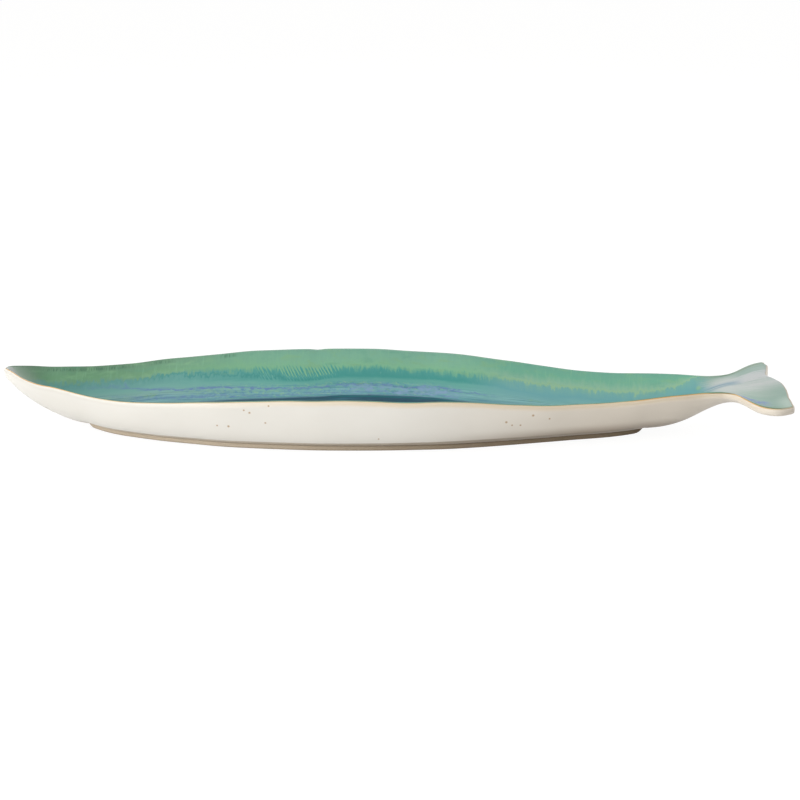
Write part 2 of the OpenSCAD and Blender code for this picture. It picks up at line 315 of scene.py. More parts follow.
# Hand-made unevenness of the rim: length and size of each wave, the turn in radians between both
# sides, and the far rim's notch
rim_waves = [mm(83, 0.1), mm(47, 0.08), mm(29, 0.05)]
wave_turn = 1.3
notch_x = -52.7 * MM
notch_half = 3.6 * MM
notch_depth = 0.55 * MM


def rim_change(side):
    """How far the rim of one side stands above its smooth line, for every row."""
    wave = np.zeros(row_count)
    for n, (wave_l, size) in enumerate(rim_waves):
        wave += size * np.sin(2 * math.pi * row_x / wave_l + side * (n + 1) * wave_turn)
    wave *= np.clip((row_x - head_x) / head_overhang, 0, 1) ** 2
    if side > 0:
        wave -= notch_depth * np.exp(-((row_x - notch_x) / notch_half) ** 2)
    return wave


def rim_nodes(side, plain_z):
    """Distance from the middle line and height of the rim's nodes, from the hull to the bowl."""
    s = spread[:, None]
    w = half_w[:, None]
    whole = np.clip((row_x - soft_lip_x) / soft_lip_l, 0, 1)[:, None]
    out = lip_out * (soft_lip_share + (1 - soft_lip_share) * whole)
    out = np.minimum(out, w * lip_most_share)
    to_corner = np.linalg.norm(far_edge - far_edge[-1], axis=1)
    out = out * cap(to_corner, corner_round)[:, None]
    drop = lip_h * (1 - s) + tail_edge_t * s
    body = np.array(body_rim_shares)[None] * (1 - s[..., None])
    shares = body + np.array(tail_rim_shares)[None] * s[..., None]
    lean = (1 - whole) * np.minimum(soft_lip_lean, w * lip_most_share / 2)
    z = plain_z + rim_change(side)[:, None]
    away = w + out * shares[..., 0] - lean * shares[..., 1] ** 2
    return np.stack([away, z - drop * shares[..., 1]], -1)


def fan(first, last, count):
    return first + (last - first) * np.linspace(0, 1, count + 1)[None]


def fan_over(middle, edge, middle_steps, edge_steps):
    """Distances from the middle line to the rim, which grow even towards the tail."""
    fans = np.hstack([fan(0, middle, middle_steps), fan(middle, edge, edge_steps)[:, 1:]])
    even = edge * np.linspace(0, 1, fans.shape[1])[None]
    return fans * (1 - spread[:, None]) + even * spread[:, None]


def half_section(side):
    """Distance from the middle line and height of the nodes of every row, on one side."""
    x = np.hstack([body_x, near_edge[body_count:, 0]])
    plain_z = crest_z(np.minimum(x, neck_x))[:, None]
    rim = rim_nodes(side, plain_z)
    hull_top = rim[:, :1, 0]
    wall_top = rim[:, -1:, 0]
    foot = np.minimum(foot_half(x)[:, None], half_w[:, None])
    floor = np.minimum(floor_half(x)[:, None], wall_top * floor_most_share)
    deck = np.minimum(plain_z, deck_z(row_x)[:, None])
    under = fan_over(foot, hull_top, base_steps, hull_steps)
    under_z = wall_z(under, foot, hull_top, keel_z(row_x)[:, None], rim[:, :1, 1])
    under = np.stack([under, under_z], -1)
    inside = fan_over(floor, wall_top, floor_steps, wall_steps)
    inside_z = wall_z(inside, floor, wall_top, deck, rim[:, -1:, 1])
    inside = np.stack([inside, inside_z], -1)[:, ::-1]
    controls = np.concatenate([under[:, -2:-1], rim, inside[:, 1:2]], 1)
    return np.concatenate([under[:, :-1], smooth_through(controls, rim_steps), inside[:, 1:]], 1)


def round_ends(plan, z):
    """Draws the heights together at the head tip and at the back edge of the tail."""
    middle = (z + z[:, ::-1]) / 2
    to_back = np.linalg.norm(plan - plan[-1:], axis=2)
    to_back[:body_count] = far_off
    share = cap(to_back, back_round) * cap(row_x - head_x, tip_round)[:, None]
    return middle + (z - middle) * share, to_back


# Numbers round the loop of a row, and the folding that closes its two ends
loop = np.arange(loop_count)
is_far = loop > half_count
column = np.where(is_far, loop_count - loop, loop)
fold = np.where(column < lip_edge, (half_count - loop) % loop_count, loop)

# First and last column of the bare line past the start of the rim, lower on the far side
near_bare = (14, 18)
far_bare = (10, 15)
bare_first = rim_first + np.where(is_far, far_bare[0], near_bare[0])
bare_last = rim_first + np.where(is_far, far_bare[1], near_bare[1])


def loop_of(near, far):
    """Joins the nodes of both sides of every row into one loop."""
    return np.concatenate([near, far[:, -2:0:-1]], 1)


def clay_grid():
    """Nodes of the clay's surface, with their falls and other places on it."""
    points, falls, backs, across = [], [], [], []
    for side in (-1, 1):
        section = half_section(side)
        plan = plan_points(side, section[..., 0])
        z, to_back = round_ends(plan, section[..., 1])
        points.append(np.concatenate([plan, z[..., None]], -1))
        lengths = np.linalg.norm(np.diff(section, axis=1), axis=2)
        run = np.hstack([np.zeros((row_count, 1)), np.cumsum(lengths, 1)])
        falls.append(run - run[:, summit:summit + 1])
        backs.append(to_back)
        across.append(side * section[..., 0] / half_w[:, None])
    grid = loop_of(*points)
    for row in (0, -1):
        grid[row] = grid[row][fold]
    return grid, loop_of(*falls), loop_of(*backs), loop_of(*across)


def to_unit(vectors):
    """The same directions with a length of 1."""
    return vectors / np.maximum(np.linalg.norm(vectors, axis=2, keepdims=True), least_area)


def outward(points):
    """Unit directions out of the surface at every node."""
    along = np.gradient(points, axis=0)
    around = np.roll(points, -1, 1) - np.roll(points, 1, 1)
    n = np.cross(along, around)
    n[0] = (-1, 0, 0)
    n[-1] = (1, 0, 0)
    return to_unit(n)


# Rows between which the bare line crosses both ends, and the one up to which the tip is green
bare_rows = 6
head_out_row = bare_rows - 1
head_in_row = bare_rows
back_in_row = row_count - bare_rows
back_out_row = row_count - bare_rows + 1
green_rows = 8
green_head_row = tip_rows + green_rows

# Share of the glaze's thickness that is missing at the bare line, and how fast it comes back
thin_share = 0.75
thin_reach = 1.2 * MM


def on_own_side(number):
    """Places in the loop of a column's number, on the side of every node."""
    return np.where(is_far, loop_count - number, number)


def glaze_depth(falls, backs):
    """Thickness of the glaze at every node, thinner towards the bare line and the foot."""
    inner = falls - falls[:, on_own_side(bare_last)]
    outer = falls[:, on_own_side(bare_first)] - falls
    inside = column >= bare_last
    side = np.where(inside, inner, outer)
    to_back = np.where(np.arange(row_count)[:, None] > back_in_row,
        backs[back_out_row] - backs, backs - backs[back_in_row])
    distance = np.maximum(np.where(inside, np.minimum(side, to_back), side), 0)
    to_foot = falls - falls[:, on_own_side(base_steps)]
    to_foot = np.where(inside | (to_foot < 0), far_off, to_foot)
    thin = thin_share * (np.exp(-distance / thin_reach) + np.exp(-to_foot / thin_reach))
    return glaze_t * (1 - thin)


clay, falls, backs, across = clay_grid()
depth = glaze_depth(falls, backs)
skin = clay + outward(clay) * depth[..., None]
skin_out = outward(skin)
node_ids = np.arange(row_count * loop_count).reshape(row_count, loop_count)
for end in (0, -1):
    node_ids[end] = node_ids[end][fold]


def cells_to_faces(cells, ids):
    """Four corners of every chosen cell, wound so that the face looks outward."""
    i, j = np.nonzero(cells)
    k = (j + 1) % ids.shape[1]
    return np.stack([ids[i, j], ids[i + 1, j], ids[i + 1, k], ids[i, k]], 1)


def open_edges(faces):
    """Edges that only one face uses, in that face's direction."""
    a = faces.ravel()
    b = np.roll(faces, -1, 1).ravel()
    size = faces.max() + 1
    lonely = ~np.isin(b * size + a, a * size + b)
    return a[lonely], b[lonely]


def add_object(name, data):
    made = bpy.data.objects.new(name, data)
    bpy.context.scene.collection.objects.link(made)
    return made


def add_mesh(name, points, faces, normals, values, look):
    """Adds a smooth closed mesh that holds only the points its faces use."""
    used, numbers = np.unique(faces, return_inverse=True)
    mesh = bpy.data.meshes.new(name)
    mesh.from_pydata(points[used].tolist(), [], numbers.reshape(faces.shape).tolist())
    for key, value in values.items():
        kind, field = ("FLOAT_VECTOR", "vector") if value.ndim == 2 else ("FLOAT", "value")
        stored = mesh.attributes.new(key, kind, "POINT").data
        stored.foreach_set(field, value[used].astype(np.float32).ravel())
    mesh.polygons.foreach_set("use_smooth", [True] * len(mesh.polygons))
    mesh.normals_split_custom_set_from_vertices(normals[used].tolist())
    mesh.materials.append(look)
    piece = add_object(name, mesh)
    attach(piece, "root")
    return piece


def shell(name, cells, ids, outer, inner, normals, values, look):
    """A closed coat over the chosen cells, between its outer and its inner surface."""
    faces = cells_to_faces(cells, ids)
    a, b = open_edges(faces)
    count = ids.size
    walls = np.stack([b, a, a + count, b + count], 1)
    every = np.vstack([faces, faces[:, ::-1] + count, walls])
    points = np.vstack([outer.reshape(-1, 3), inner.reshape(-1, 3)])
    both = {key: np.concatenate([v.reshape(count, *v.shape[2:])] * 2) for key, v in values.items()}
    normals = normals.reshape(-1, 3)
    return add_mesh(name, points, every, np.vstack([normals, -normals]), both, look)


def colour(code):
    """Linear colour of a six-digit code of a screen colour."""
    parts = [int(code[n:n + 2], 16) / 255 for n in (0, 2, 4)]
    linear = [c / 12.92 if c <= 0.04045 else ((c + 0.055) / 1.055) ** 2.4 for c in parts]
    return (*linear, 1)


class Nodes:
    """The nodes of a material or of the world, with short names for what they do."""

    def __init__(self, owner):
        owner.use_nodes = True
        self.owner = owner
        self.tree = owner.node_tree
        self.colours = None

    def join(self, socket, value):
        if isinstance(value, bpy.types.NodeSocket):
            self.tree.links.new(value, socket)
        else:
            socket.default_value = value

    def node(self, kind, inputs, **settings):
        made = self.tree.nodes.new("ShaderNode" + kind)
        for key, value in settings.items():
            setattr(made, key, value)
        for key, value in inputs.items():
            self.join(made.inputs[key], value)
        return made

    def math(self, operation, a, b=0.0):
        return self.node("Math", {0: a, 1: b}, operation=operation).outputs[0]

    def add(self, total, *more):
        for value in more:
            total = self.math("ADD", total, value)
        return total

    def times(self, total, *more):
        for value in more:
            total = self.math("MULTIPLY", total, value)
        return total

    def stored(self, name, kind):
        return self.node("Attribute", {}, attribute_name=name).outputs[kind]

    def place(self):
        return self.node("TexCoord", {}).outputs["Object"]

    def parts(self, vector):
        return self.node("SeparateXYZ", {0: vector}).outputs[:3]

    def vector(self, x, y, z):
        return self.node("CombineXYZ", {0: x, 1: y, 2: z}).outputs[0]

    def distance(self, a, b):
        return self.node("VectorMath", {0: a, 1: b}, operation="DISTANCE").outputs["Value"]

    def step(self, value, low, high):
        """Rises smoothly from 0 at low to 1 at high, and falls if low is the larger one."""
        if low > high:
            return self.math("SUBTRACT", 1.0, self.step(value, high, low))
        names = {"Value": value, "From Min": low, "From Max": high}
        return self.node("MapRange", names, interpolation_type="SMOOTHSTEP").outputs[0]

    def climb(self, value, steps):
        """Sum of smooth steps, each with its own ends and height."""
        return self.add(*[self.times(self.step(value, *ends), height) for ends, height in steps])

    def band(self, value, low, high, soft):
        """1 between low and high, and 0 outside, with soft ends."""
        rise = self.step(value, low - soft, low + soft)
        return self.times(rise, self.step(value, high + soft, high - soft))

    def area(self, x, across, stretch, span):
        """1 on a stretch of the length and a span across it, and 0 outside."""
        return self.times(self.band(x, *stretch), self.band(across, *span))

    def noise(self, name, place):
        """Noise of the table, with spots of about its sizes along each axis."""
        sizes, shift, detail, roughness, twist = noises[name]
        scales = [1 / size for size in mm(*sizes)]
        scaled = self.node("VectorMath", {0: place, 1: scales}, operation="MULTIPLY")
        moved = self.node("VectorMath", {0: scaled.outputs[0], 1: [shift] * 3})
        names = {"Vector": moved.outputs[0], "Scale": 1.0, "Detail": detail,
            "Roughness": roughness, "Distortion": twist}
        return self.node("TexNoise", names).outputs[0]

    def swing(self, noise, size):
        """Noise as a change of up to about half the size either way."""
        return self.times(self.math("SUBTRACT", noise, 0.5), size)

    def sway(self, name, place, size):
        return self.swing(self.noise(name, place), size)

    def mix(self, share, a, b):
        return self.node("Mix", {0: share, 6: a, 7: b}, data_type="RGBA").outputs[2]

    def cover(self, share, colours):
        self.colours = self.mix(share, self.colours, colours)

    def lay(self, code, *shares):
        """Lays a plain colour over those so far, by the product of its shares."""
        self.cover(self.times(*shares), colour(code))

    def ramp(self, value, stops):
        made = self.node("ValToRGB", {0: value})
        elements = made.color_ramp.elements
        while len(elements) < len(stops):
            elements.new(1)
        for element, (place, code) in zip(elements, stops):
            element.position = place
            element.color = colour(code)
        return made.outputs[0]

    def show_white(self, output, surface, plain, share):
        """Shows white to camera, glossy and transmission rays, and the surface to the others."""
        rays = self.node("LightPath", {}).outputs
        seen = self.math("MAXIMUM", rays["Is Camera Ray"], rays["Is Glossy Ray"])
        seen = self.math("MAXIMUM", seen, rays["Is Transmission Ray"])
        mixed = self.node("MixShader", {0: self.times(seen, share), 1: surface, 2: plain})
        self.join(self.tree.nodes[output].inputs["Surface"], mixed.outputs[0])

    def finish(self, roughness, **others):
        """Gives the shader the colours laid so far, and returns the material."""
        inputs = self.tree.nodes["Principled BSDF"].inputs
        self.join(inputs["Base Color"], self.colours)
        self.join(inputs["Roughness"], roughness)
        for key, value in others.items():
            self.join(inputs[key.replace("_", " ")], value)
        return self.owner


def material(name):
    return Nodes(bpy.data.materials.new(name))


# Where the wall's glaze changes colour, as falls below the crest: share of the body's length,
# share of a usual fall
green_fall = 14 * MM
green_edge_shares = [[0, 0.8], [0.05, 0.8], [0.09, 0.74], [0.12, 0.77], [0.17, 0.88], [0.21, 0.8],
    [0.29, 0.88], [0.35, 1.05], [0.41, 1.17], [0.47, 1.02], [0.53, 1], [0.68, 0.98], [0.72, 1.06],
    [0.77, 1.14], [0.81, 1], [0.85, 1.08], [0.9, 1.08], [0.93, 0.96], [0.945, 0.75], [0.96, 0.66],
    [0.975, 0.2], [1, 0.05]]
pool_fall = 36 * MM
pool_edge_shares = [[0, 1.2], [0.2, 1.2], [0.28, 1.16], [0.33, 1.14], [0.38, 1.11], [0.44, 1.05],
    [0.47, 0.99], [0.5, 0.98], [0.6, 0.98], [0.64, 1.05], [0.68, 1.105], [0.72, 1.12], [0.8, 1.14],
    [1, 1.2]]
pool_reach = 45 * MM

# Within this distance of the middle line the patterns of both sides merge
merge_half = 14 * MM
merge_share = 0.45

# Colours down the wall in three stretches of the bowl: place in thirds from the crest to the
# green edge, the pool's edge and the middle of the pool
head_colours = [[0, "627f6c"], [0.02, "709478"], [0.14, "6e9a7b"], [0.27, "71a17c"],
    [0.32, "74a182"], [0.36, "639c98"], [0.45, "75aca4"], [0.53, "87afa7"], [0.56, "7aa6b5"],
    [0.62, "7cacb1"], [0.66, "688ca2"], [0.68, "264a60"], [0.8, "1e3c56"], [1, "1a304c"]]
middle_colours = [[0, "5a8c78"], [0.015, "7ba694"], [0.06, "7caf98"], [0.17, "81b59a"],
    [0.28, "85bb96"], [0.325, "68ac96"], [0.35, "539f98"], [0.41, "4c9b94"], [0.44, "67aba1"],
    [0.53, "6ca9a2"], [0.56, "6ea6ac"], [0.63, "66a2a6"], [0.655, "647d98"], [0.668, "1e465e"],
    [0.74, "1c4058"], [0.85, "1a3850"], [1, "1a304a"]]
neck_colours = [[0, "62947e"], [0.02, "6ea692"], [0.15, "70ad94"], [0.26, "88b59c"],
    [0.31, "92b994"], [0.34, "74aba5"], [0.42, "69a5a9"], [0.52, "7eb2af"], [0.6, "78a4af"],
    [0.655, "688ca0"], [0.67, "2c4a62"], [0.8, "223c58"], [1, "1c3450"]]
# Colours across the tail, from its near edge to its far edge: the glaze's own streaks, with a pale
# grey middle that is partly painted reflection
tail_colours_and_reflection = [[0, "5e7450"], [0.015, "86ad9a"], [0.06, "8cb1a4"], [0.14, "90b4a6"],
    [0.24, "97b5a7"], [0.36, "aabfb4"], [0.45, "bfcac6"], [0.55, "cacfcf"], [0.62, "b8c5c1"],
    [0.68, "ccd0d2"], [0.78, "c4ccce"], [0.84, "9cb7ae"], [0.93, "8eafa2"], [0.985, "89a895"],
    [1, "7a957d"]]

# Where the wall's look changes: both ends of a slope, or of a band and how soft they are
head_ends = mm(-190, -45)
neck_ends = mm(40, 80)
flame_ends = mm(-90, -40, 8)
deep_ends = mm(-165, -50, 15)
violet_ends = mm(-210, 60, 15)
violet_fade = mm(-225, -140)
patch_ends = mm(-32, 42, 8)
mottled_ends = mm(-135, 35, 20)
dark_pool_ends = mm(-42, 42, 8)
tick_ends = [mm(-229, -172, 4), mm(-163, -150, 4), mm(-117, -108, 4)]
tick_falls = mm(1.4, 3.6, 0.8)

# How far the deep band sinks and the violet line rises: stretch and change of the zone
deep_sinks = [[mm(-165, -120), 0.1], [mm(-115, -60), 0.1]]
violet_rises = [[mm(-80, -150), 0.08], [mm(-150, -190), 0.26]]

# Slanted tongues of glaze: how far they lean for their fall, their gap and how they wander
flame_lean = 0.55
flame_gap = 2.3 * MM
flame_wander = 14

# The tail: how its start is ragged and slanted, how wide its streaks fan out, and its areas
tail_ends = mm(199, 211)
tail_ragged = 13 * MM
tail_slant = 6 * MM
fan_w = 60 * MM
root_area = [mm(205, 220, 6), (-1.1, 0.86, 0.12)]
grey_area = [mm(199, 221, 6), (0.24, 0.48, 0.1)]
blue_area = [mm(217, 233, 4), (-0.93, -0.74, 0.05)]
back_ends = mm(222, 246)
back_span = (-0.8, 0.0, 0.25)
lobe_ends = mm(236, 246)
lobe_span = (-0.45, -0.8)

# The green blotch on the neck, and the painted shade and the grey and pale painted reflections of
# the head tip
blotch_place = mm(196.5, 13, 0)
blotch_ragged = 6 * MM
blotch_edge = mm(3, 1)
tip_ragged = 5 * MM
tip_slant = 14 * MM
shade_ends = mm(-222, -236)
shade_span = (-0.1, 0.6)
tip_grey_reflection_ends = mm(-218, -237)
tip_pale_reflection_ends = mm(-236, -247)
dimple_depth = 0.1 * MM

# Noises: sizes along three axes in millimetres, shift, detail, roughness and twist
noises = dict(
    drips=[(1.8, 7, 60), 3.1, 3, 0.6, 0],
    clusters=[(5, 9, 60), 13.4, 2, 0.5, 0],
    folds=[(24, 14, 60), 8.7, 2, 0.5, 0],
    curls=[(4, 2.4, 60), 1.9, 4, 0.6, 0.8],
    wander=[(9, 40, 60), 6.3, 2, 0.5, 0],
    flat_waves=[(30, 2, 60), 15.3, 2, 0.5, 0],
    runs=[(1.3, 14, 60), 2.7, 4, 0.7, 0],
    green_clouds=[(13, 5, 60), 20.3, 4, 0.6, 0.3],
    wall_streaks=[(40, 0.8, 60), 5.3, 4, 0.65, 0],
    mottles=[(3.2, 1.8, 60), 24.3, 3, 0.65, 0.6],
    gaps=[(9, 3, 60), 11.3, 3, 0.6, 0.5],
    spots=[(6.5, 3, 60), 14.9, 4, 0.6, 0.9],
    puffs=[(9, 4.5, 60), 21.7, 3, 0.55, 0.7],
    ticks=[(0.9, 9, 60), 17.7, 2, 0.6, 0],
    pool_clouds=[(34, 12, 60), 6.1, 4, 0.6, 0.6],
    pool_threads=[(26, 2.4, 60), 10.7, 4, 0.65, 0.5],
    tail_streaks=[(40, 4, 60), 7.1, 4, 0.6, 0.3],
    tail_spots=[(5, 60, 3), 12.3, 3, 0.6, 0.5],
    fine_streaks=[(30, 1.5, 60), 9.9, 3, 0.6, 0.2],
    long_streaks=[(22, 60, 2.6), 3.3, 4, 0.6, 0.4],
    dimples=[(9, 9, 60), 4.4, 2, 0.5, 0],
    white_clouds=[(40, 40, 25), 2.2, 3, 0.5, 0],
    worn_patches=[(25, 25, 25), 9.4, 3, 0.5, 0],
    speck_gaps=[(30, 30, 30), 5.5, 1, 0.5, 0],
    foot_grain=[(1.2, 1.2, 1.2), 1, 4, 0.7, 0],
    clay_grain=[(2, 2, 2), 1, 4, 0.7, 0],
    clay_patches=[(25, 60, 60), 3.3, 2, 0.5, 0])


def merged_falls():
    """Falls of the pattern, which level out at the middle line of the bowl."""
    reach = np.minimum(merge_half, merge_share * half_w)[:, None]
    away = np.minimum(np.abs(across) * half_w[:, None], reach)
    level = (away**2 + reach**2) / (2 * reach) - away
    return np.where(column > summit, falls - level, falls)


def fall_zone(falls):
    """0 at the crest, 1 at the green edge, 2 at the pool's edge and about 3 in its middle."""
    place = (row_x - head_x) / body_l
    green = green_fall * curve_at(green_edge_shares, place)[:, None]
    pool = pool_fall * curve_at(pool_edge_shares, place)[:, None]
    wall = 1 + (falls - green) / (pool - green)
    floor = 2 + (falls - pool) / pool_reach
    return np.where(falls < green, falls / green, np.where(falls < pool, wall, floor))


def flames(m, zone, flow):
    """Slanted tongues on a stretch of the green edge."""
    x, fall, y = m.parts(flow)
    leaning = m.vector(m.math("SUBTRACT", x, m.times(fall, flame_lean)), fall, y)
    wander = m.noise("wander", leaning)
    turns = m.times(m.parts(leaning)[0], 2 * math.pi / flame_gap)
    turns = m.add(turns, m.swing(wander, flame_wander))
    tongues = m.times(m.math("SINE", turns), m.step(wander, 0.25, 0.6))
    return m.times(tongues, 0.24, m.band(x, *flame_ends), m.step(zone, 0.5, 0.8))


def ragged_zone(m, zone, flow):
    """The zone with the drips, flames and curls that make its borders uneven."""
    rough = m.add(m.sway("drips", flow, 0.5), flames(m, zone, flow), m.sway("clusters", flow, 0.3))
    rough = m.times(rough, m.step(zone, 1.3, 1.1))
    curls = m.times(m.sway("curls", flow, 0.3), m.step(zone, 1.35, 1.55))
    flat = m.times(m.sway("flat_waves", flow, 0.12), m.band(zone, 1.2, 1.9, 0.1))
    rough = m.add(rough, m.sway("folds", flow, 0.2), curls, flat)
    calm = m.times(m.step(zone, 0.0, 0.4), m.step(zone, 2.0, 1.85))
    return m.add(zone, m.times(rough, calm))


def deep_look(m, ragged, x):
    """Adds the deeper teal band below the green."""
    sunken = m.math("SUBTRACT", ragged, m.climb(x, deep_sinks))
    m.lay("44918c", m.band(sunken, 1.0, 1.06, 0.04), m.band(x, *deep_ends), 0.85)


def green_look(m, zone, flow):
    """Adds the runs and the clouds of the green glaze."""
    upper = m.step(zone, 1.2, 0.9)
    clouds = m.noise("green_clouds", flow)
    m.lay("86b896", upper, m.step(m.noise("runs", flow), 0.5, 0.85))
    m.lay("84b28a", upper, 0.6, m.step(clouds, 0.5, 0.7))
    m.lay("629f88", upper, 0.3, m.step(clouds, 0.45, 0.3))


def blue_look(m, zone, flow):
    """Adds the flat streaks and the mottles of the blue glaze."""
    streaks = m.noise("wall_streaks", flow)
    low = m.band(zone, 1.45, 1.95, 0.12)
    m.lay("8abcc2", low, m.step(streaks, 0.5, 0.66))
    m.lay("467f92", low, m.step(streaks, 0.48, 0.32))
    mottles = m.noise("mottles", flow)
    mottled = m.times(m.band(zone, 1.4, 1.9, 0.1), m.band(m.parts(flow)[0], *mottled_ends))
    m.lay("86b79c", mottled, m.step(mottles, 0.53, 0.68))
    m.lay("5f8fae", mottled, m.step(mottles, 0.46, 0.33))


def violet_look(m, ragged, flow):
    """Adds the thin violet line, its blue patches and the green spots beside it."""
    x = m.parts(flow)[0]
    raised = m.add(ragged, m.climb(x, violet_rises))
    lines = m.add(m.band(raised, 1.5, 1.56, 0.03), m.band(raised, 1.78, 1.81, 0.03))
    lines = m.times(lines, m.band(x, *violet_ends), m.step(x, *violet_fade))
    m.lay("6787b3", lines, m.step(m.noise("gaps", flow), 0.33, 0.52))
    spots = m.noise("spots", flow)
    uneven = m.add(m.times(m.step(spots, 0.42, 0.58), 0.65), 0.35)
    patches = m.times(m.band(ragged, 1.48, 1.85, 0.08), m.band(x, *patch_ends))
    m.lay("83a3c1", patches, m.step(m.noise("puffs", flow), 0.42, 0.58), uneven)
    m.lay("7aa97c", m.band(ragged, 1.45, 1.75, 0.08), m.step(spots, 0.4, 0.3), 0.7)


def tick_look(m, flow):
    """Adds the short dark ticks that hang under the far rim."""
    x, fall, y = m.parts(flow)
    ticked = m.add(*[m.band(x, *ends) for ends in tick_ends])
    ticks = m.times(m.band(fall, *tick_falls), m.step(m.noise("ticks", flow), 0.42, 0.58))
    m.lay("3f6a55", ticked, ticks, 0.55)


def pool_look(m, zone, flow):
    """Adds the pool's teal edge, and the clouds and threads that float in its dark middle."""
    x, fall, y = m.parts(flow)
    m.lay("08646a", m.band(zone, 1.99, 2.09, 0.02), m.band(x, *dark_pool_ends), 0.9)
    place = m.vector(x, y, 0.0)
    clouds = m.noise("pool_clouds", place)
    inside = m.step(zone, 2.06, 2.2)
    m.lay("2b5f74", inside, m.step(clouds, 0.48, 0.68))
    m.lay("141f3d", inside, m.step(clouds, 0.46, 0.32))
    threads = m.step(m.noise("pool_threads", place), 0.53, 0.7)
    m.lay("4f8496", inside, m.step(zone, 2.75, 2.2), threads)


def wall_look(m, zone, flow):
    """Colours of the bowl: green above, teal and blue below and navy in the pool."""
    x = m.parts(flow)[0]
    ragged = ragged_zone(m, zone, flow)
    place = m.math("DIVIDE", ragged, 3.0)
    m.colours = m.ramp(place, head_colours)
    m.cover(m.step(x, *head_ends), m.ramp(place, middle_colours))
    m.cover(m.step(x, *neck_ends), m.ramp(place, neck_colours))
    deep_look(m, ragged, x)
    green_look(m, zone, flow)
    blue_look(m, zone, flow)
    violet_look(m, ragged, flow)
    tick_look(m, flow)
    pool_look(m, zone, flow)


def tail_look(m, across, flow):
    """Colours of the tail, whose streaks fan out to its back edge, with a pale grey middle that is
    partly painted reflection.
    """
    x = m.parts(flow)[0]
    fan = m.vector(x, m.times(across, fan_w), 0.0)
    streaks = m.noise("tail_streaks", fan)
    spots = m.noise("tail_spots", flow)
    inner = m.step(m.math("ABSOLUTE", across), 1.0, 0.9)
    wobble = m.times(m.add(m.swing(streaks, 0.3), m.swing(spots, 0.12)), inner)
    # The pale grey middle of this ramp is partly painted reflection of the glossy tail
    m.colours = m.ramp(m.add(m.times(m.add(across, 1.0), 0.5), wobble), tail_colours_and_reflection)
    fine = m.noise("fine_streaks", fan)
    m.lay("bccac4", m.step(fine, 0.5, 0.7), 0.4)
    m.lay("83a8a0", m.step(fine, 0.47, 0.3), 0.5)
    m.lay("c6cecb", m.area(x, across, *root_area), m.add(m.swing(streaks, 0.8), 0.75))
    m.lay("8ba6b4", m.area(x, across, *grey_area), m.step(streaks, 0.3, 0.5))
    m.lay("7fa495", m.step(x, *back_ends), m.band(across, *back_span), 0.75)
    m.lay("b8cec2", m.step(x, *lobe_ends), m.step(across, *lobe_span), 0.8)
    m.lay("6f8cc0", m.area(x, across, *blue_area), m.step(spots, 0.3, 0.5))


def head_tip_look(m, x, across, streaks):
    """Adds the painted shade, and the grey and pale painted reflections, of the head tip."""
    m.lay("5d7564", m.step(x, *shade_ends), m.step(across, *shade_span), 0.35)
    # Grey and pale painted reflection of the glossy tip, slanted across it
    place = m.add(x, m.swing(streaks, tip_ragged), m.times(across, tip_slant))
    m.lay("a4b7a9", m.step(place, *tip_grey_reflection_ends), 0.75)
    m.lay("b4bcba", m.step(place, *tip_pale_reflection_ends))


def reactive_glaze(name):
    """The glossy glaze of the bowl and the tail, which runs on from coat to coat."""
    m = material(name)
    flow = m.stored("flow", "Vector")
    across = m.stored("across", "Fac")
    x, fall, y = m.parts(flow)
    streaks = m.noise("long_streaks", flow)
    tail_place = m.add(x, m.swing(streaks, tail_ragged), m.times(across, tail_slant))
    wall_look(m, m.stored("zone", "Fac"), flow)
    bowl = m.colours
    tail_look(m, across, flow)
    m.colours = m.mix(m.step(tail_place, *tail_ends), bowl, m.colours)
    away = m.distance(m.vector(x, y, 0.0), blotch_place)
    blotch = m.step(m.add(away, m.swing(streaks, blotch_ragged)), *blotch_edge)
    m.lay("8fb98c", blotch, 0.7)
    head_tip_look(m, x, across, streaks)
    dimples = m.node("Bump", {"Height": m.noise("dimples", flow), "Distance": dimple_depth})
    return m.finish(0.3, Normal=dimples.outputs[0], Specular_IOR_Level=0.15, Coat_Weight=0.05,
        Coat_Roughness=0.2)


# Iron specks on the near side of the hull: places along X and Z and radii, in millimetres
hull_specks = [[-89, 30.1, 0.6], [-85.6, 28.4, 0.7], [-73.6, 33.3, 0.6], [-99.3, 18.1, 0.8],
    [-106.4, 18.4, 0.6], [-76.2, 21.3, 0.6], [-6.7, 10.2, 0.5], [72, 20.3, 0.8], [75.6, 17.8, 0.6],
    [80.8, 17.5, 0.6], [88.5, 24.5, 0.8], [98.8, 21.3, 0.6], [-107, 3.2, 0.5], [-65.9, 2.8, 0.6],
    [-1.6, 2.4, 0.4]]
speck_reach = 1.4
speck_density = 45.0
speck_colour = "ad8a58"

# Where the outside's glaze is warm, thin and wiped off, and where painted shade darkens it low
# towards the tail and dims the head's lip, along X, Z and the falls
warm_ends = mm(0, 150)
painted_shade_ends = mm(10, 130)
painted_shade_heights = mm(15, 5)
thin_falls = mm(-4.6, -1.8)
thin_end = mm(0, -0.1)
thin_start_x = mm(-190, 15)
thin_end_x = mm(250, 190)
head_lip_shade_falls = mm(-5, -1)
head_lip_shade_ends = mm(-120, -160)
wiped_h = 6.2 * MM
wiped_growth = 1.2 * MM
wiped_growth_x = mm(-60, 120)
wiped_edge = mm(0.5, -0.3)
wiped_end_x = (foot_tail_x - 2 * MM, foot_tail_x - 12 * MM)

# Where the bare foot is darker towards the tail from painted shade, and at its lowest edge from
# painted shade and grime, and where the bare clay is toasted, olive and pale
foot_shade_ends = mm(-140, 90)
grime_and_shade_heights = mm(1.2, 0.2)
toasted_head = mm(-190, -215)
toasted_tail = mm(150, 232, 8)
olive_ends = mm(199, 214, 4)
pale_back = mm(236, 242)


